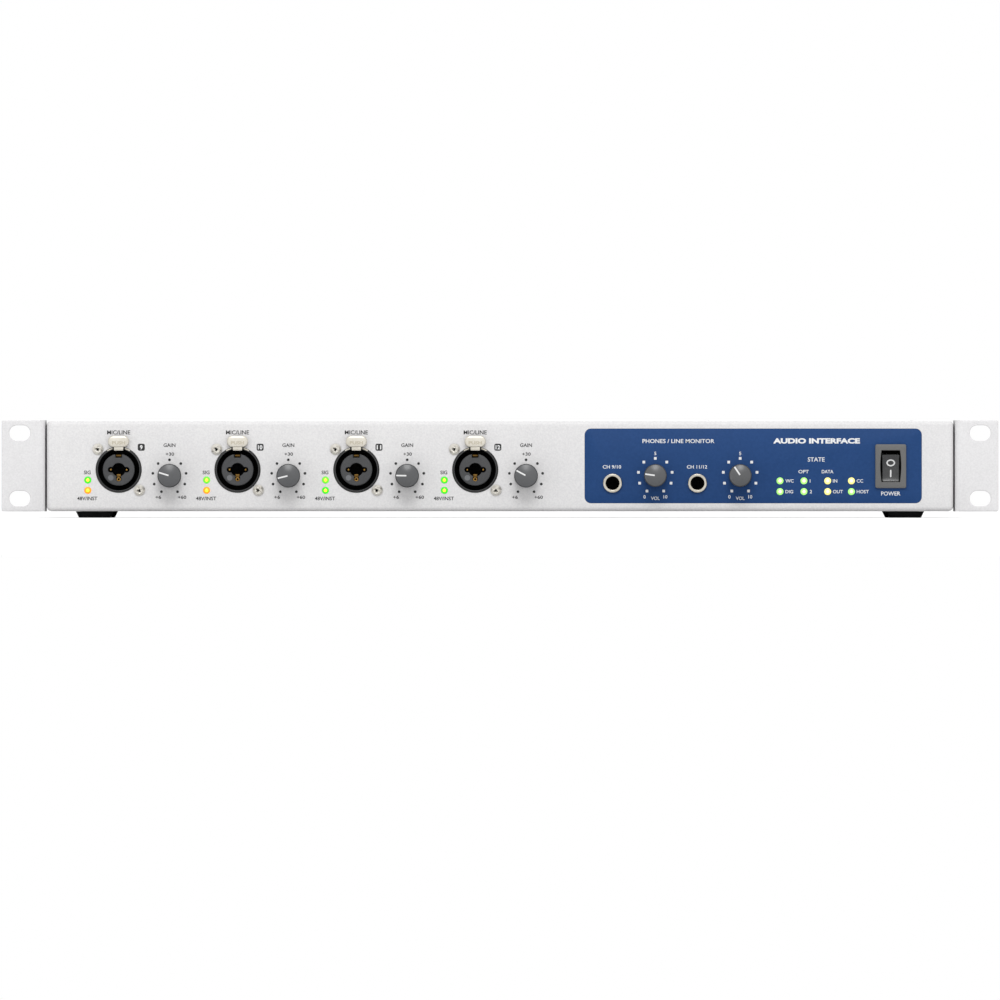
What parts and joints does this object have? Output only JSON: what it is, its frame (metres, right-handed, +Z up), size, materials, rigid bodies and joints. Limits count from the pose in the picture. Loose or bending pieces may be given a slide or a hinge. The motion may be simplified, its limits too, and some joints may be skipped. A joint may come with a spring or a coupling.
{
  "type": "audio interface",
  "caption": "One-unit rack audio interface with front combo sockets, knobs, indicator lights and power rocker, and a rear panel of audio, data, clock, optical and mains sockets.",
  "frame": {"origin": "centre of the bounding box in plan, on the surface that the rubber feet stand on", "axes": "+X to the right seen from the front, +Y from the front panel to the rear panel, +Z up"},
  "size_m": [0.4826, 0.261, 0.0472],
  "materials": {
    "light_panel": "fine textured powder coat, light warm grey",
    "blue_inlay": "satin blue sheet",
    "grey_sheet": "satin dark grey powder coat",
    "black_sheet": "satin black powder coat",
    "zinc_sheet": "zinc plated steel sheet",
    "black_plastic": "satin black moulding",
    "knob_plastic": "satin mid grey moulding",
    "switch_plastic": "satin grey moulding",
    "nickel": "bright nickel plate",
    "rubber": "matt black rubber",
    "lens": "moulded light guide",
    "cyan_plastic": "pale cyan button cap",
    "pale_grey_plastic": "pale grey moulding",
    "dark_grey_plastic": "dark grey moulding",
    "circuit_board": "green solder mask"
  },
  "bodies": {
    "chassis": {"front_panel": "light_panel", "rack_ear_left": "light_panel", "rack_ear_right": "light_panel", "front_inlay": "blue_inlay", "rear_panel": "grey_sheet", "side_rail_left": "grey_sheet", "side_rail_right": "grey_sheet", "top_cover": "black_sheet", "chassis_tray": "zinc_sheet", "foot_1": "rubber", "combo_socket_1": "black_plastic", "channel_lights_1": "lens", "foot_2": "rubber", "combo_socket_2": "black_plastic", "channel_lights_2": "lens", "foot_3": "rubber", "combo_socket_3": "black_plastic", "channel_lights_3": "lens", "foot_4": "rubber", "combo_socket_4": "black_plastic", "channel_lights_4": "lens", "phones_jack_1": "nickel", "data_socket_1": "black_plastic", "clock_socket_1": "nickel", "phones_jack_2": "nickel", "data_socket_2": "black_plastic", "clock_socket_2": "nickel", "state_lights": "lens", "switch_housing": "switch_plastic", "mains_inlet": "black_plastic", "cord_bail": "nickel", "bail_nut": "nickel", "host_port": "nickel", "remote_port": "nickel", "optical_ports": "black_plastic", "digital_out_socket": "black_plastic", "digital_in_socket": "black_plastic", "line_output_jacks": "grey_sheet", "line_input_jacks": "grey_sheet", "front_board": "circuit_board", "main_board": "circuit_board", "power_supply": "circuit_board", "ribbon_cable": "pale_grey_plastic"},
    "gain_knob_1": {"gain_knob_1": "knob_plastic"},
    "gain_knob_2": {"gain_knob_2": "knob_plastic"},
    "gain_knob_3": {"gain_knob_3": "knob_plastic"},
    "gain_knob_4": {"gain_knob_4": "knob_plastic"},
    "volume_knob_1": {"volume_knob_1": "knob_plastic"},
    "volume_knob_2": {"volume_knob_2": "knob_plastic"},
    "power_rocker": {"power_rocker": "black_plastic"},
    "combo_latch_1": {"combo_latch_1": "nickel"},
    "combo_latch_2": {"combo_latch_2": "nickel"},
    "combo_latch_3": {"combo_latch_3": "nickel"},
    "combo_latch_4": {"combo_latch_4": "nickel"},
    "digital_in_latch": {"digital_in_latch": "nickel"},
    "optical_shutter_1": {"optical_shutter_1": "pale_grey_plastic"},
    "optical_shutter_2": {"optical_shutter_2": "dark_grey_plastic"},
    "optical_shutter_3": {"optical_shutter_3": "pale_grey_plastic"},
    "optical_shutter_4": {"optical_shutter_4": "dark_grey_plastic"},
    "mode_button": {"mode_button": "cyan_plastic"}
  },
  "joints": [
    {"name": "gain_1_turn", "type": "hinge", "parent": "chassis", "child": "gain_knob_1", "pos_m": [-0.16005, -0.1175, 0.0203], "axis": [0, 1, 0], "range_deg": [-77, 223]},
    {"name": "gain_2_turn", "type": "hinge", "parent": "chassis", "child": "gain_knob_2", "pos_m": [-0.1025, -0.1175, 0.0203], "axis": [0, 1, 0], "range_deg": [-46, 254]},
    {"name": "gain_3_turn", "type": "hinge", "parent": "chassis", "child": "gain_knob_3", "pos_m": [-0.04495, -0.1175, 0.0203], "axis": [0, 1, 0], "range_deg": [-61, 239]},
    {"name": "gain_4_turn", "type": "hinge", "parent": "chassis", "child": "gain_knob_4", "pos_m": [0.0126, -0.1175, 0.0203], "axis": [0, 1, 0], "range_deg": [-88.5, 211.5]},
    {"name": "volume_1_turn", "type": "hinge", "parent": "chassis", "child": "volume_knob_1", "pos_m": [0.0752, -0.1175, 0.0204], "axis": [0, 1, 0], "range_deg": [-68, 232]},
    {"name": "volume_2_turn", "type": "hinge", "parent": "chassis", "child": "volume_knob_2", "pos_m": [0.1163, -0.1175, 0.0204], "axis": [0, 1, 0], "range_deg": [-116, 184]},
    {"name": "power_rock", "type": "hinge", "parent": "chassis", "child": "power_rocker", "pos_m": [0.1892, -0.1134, 0.0249], "axis": [-1, 0, 0], "range_deg": [0, 20]},
    {"name": "combo_latch_1_press", "type": "hinge", "parent": "chassis", "child": "combo_latch_1", "pos_m": [-0.18465, -0.1135, 0.0331], "axis": [-1, 0, 0], "range_deg": [0, 8], "stiffness_Nm_per_rad": 0.02},
    {"name": "combo_latch_2_press", "type": "hinge", "parent": "chassis", "child": "combo_latch_2", "pos_m": [-0.1271, -0.1135, 0.0331], "axis": [-1, 0, 0], "range_deg": [0, 8], "stiffness_Nm_per_rad": 0.02},
    {"name": "combo_latch_3_press", "type": "hinge", "parent": "chassis", "child": "combo_latch_3", "pos_m": [-0.06955, -0.1135, 0.0331], "axis": [-1, 0, 0], "range_deg": [0, 8], "stiffness_Nm_per_rad": 0.02},
    {"name": "combo_latch_4_press", "type": "hinge", "parent": "chassis", "child": "combo_latch_4", "pos_m": [-0.012, -0.1135, 0.0331], "axis": [-1, 0, 0], "range_deg": [0, 8], "stiffness_Nm_per_rad": 0.02},
    {"name": "digital_in_latch_press", "type": "hinge", "parent": "chassis", "child": "digital_in_latch", "pos_m": [-0.0438, 0.1123, 0.0328], "axis": [1, 0, 0], "range_deg": [0, 8], "stiffness_Nm_per_rad": 0.02},
    {"name": "optical_shutter_1_swing", "type": "hinge", "parent": "chassis", "child": "optical_shutter_1", "pos_m": [0.0779, 0.1163, 0.0365], "axis": [-1, 0, 0], "range_deg": [0, 75], "stiffness_Nm_per_rad": 0.0005},
    {"name": "optical_shutter_2_swing", "type": "hinge", "parent": "chassis", "child": "optical_shutter_2", "pos_m": [0.0641, 0.1163, 0.0365], "axis": [-1, 0, 0], "range_deg": [0, 75], "stiffness_Nm_per_rad": 0.0005},
    {"name": "optical_shutter_3_swing", "type": "hinge", "parent": "chassis", "child": "optical_shutter_3", "pos_m": [0.051, 0.1163, 0.0365], "axis": [-1, 0, 0], "range_deg": [0, 75], "stiffness_Nm_per_rad": 0.0005},
    {"name": "optical_shutter_4_swing", "type": "hinge", "parent": "chassis", "child": "optical_shutter_4", "pos_m": [0.0372, 0.1163, 0.0365], "axis": [-1, 0, 0], "range_deg": [0, 75], "stiffness_Nm_per_rad": 0.0005},
    {"name": "mode_press", "type": "slide", "parent": "chassis", "child": "mode_button", "axis": [0, -1, 0], "range_m": [0, 0.0008], "stiffness_N_per_m": 800}
  ]
}
